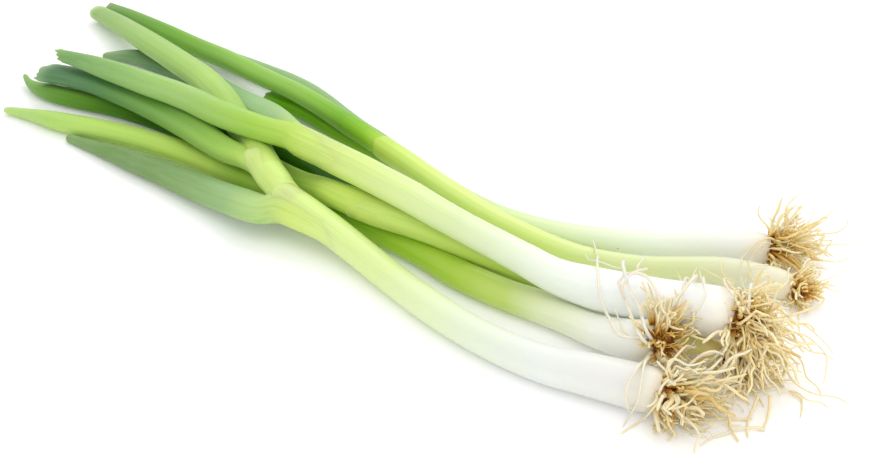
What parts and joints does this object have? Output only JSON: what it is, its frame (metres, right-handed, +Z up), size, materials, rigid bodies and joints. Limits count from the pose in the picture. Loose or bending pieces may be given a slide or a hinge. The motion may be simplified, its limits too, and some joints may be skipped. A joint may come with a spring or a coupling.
{
  "type": "spring onion bunch",
  "caption": "Bunch of spring onions lying flat: white shafts with small bulbs and tan root tufts at one end, running into long hollow green leaves with cut or curled tips at the other.",
  "frame": {"origin": "bottom centre of the bunch's box, on the surface it lies on", "axes": "+X along the bunch towards the roots, +Z up, +Y towards the side where the leaves and roots spread back"},
  "size_m": [0.4326, 0.142, 0.0321],
  "materials": {
    "sheath_white": "satin",
    "bulb_tan": "satin",
    "leaf_pale": "satin",
    "leaf_green": "satin",
    "leaf_glaucous": "matte",
    "root_tan": "matte"
  },
  "bodies": {
    "root": {"onion_1_stem": "sheath_white", "onion_1_leaf_1": "leaf_glaucous", "onion_1_leaf_2": "leaf_glaucous", "onion_1_leaf_3": "leaf_green", "onion_1_roots": "root_tan", "onion_2_stem": "sheath_white", "onion_2_leaf_1": "leaf_pale", "onion_2_roots": "root_tan", "onion_3_stem": "bulb_tan", "onion_3_leaf_1": "leaf_green", "onion_3_leaf_2": "leaf_green", "onion_3_roots": "root_tan", "onion_4_stem": "sheath_white", "onion_4_leaf_1": "leaf_green", "onion_4_leaf_2": "leaf_glaucous", "onion_4_roots": "root_tan", "onion_5_stem": "sheath_white", "onion_5_leaf_1": "leaf_green", "onion_5_roots": "root_tan", "onion_6_stem": "sheath_white", "onion_6_leaf_1": "leaf_green", "onion_6_leaf_2": "leaf_glaucous", "onion_6_roots": "root_tan"}
  },
  "joints": []
}
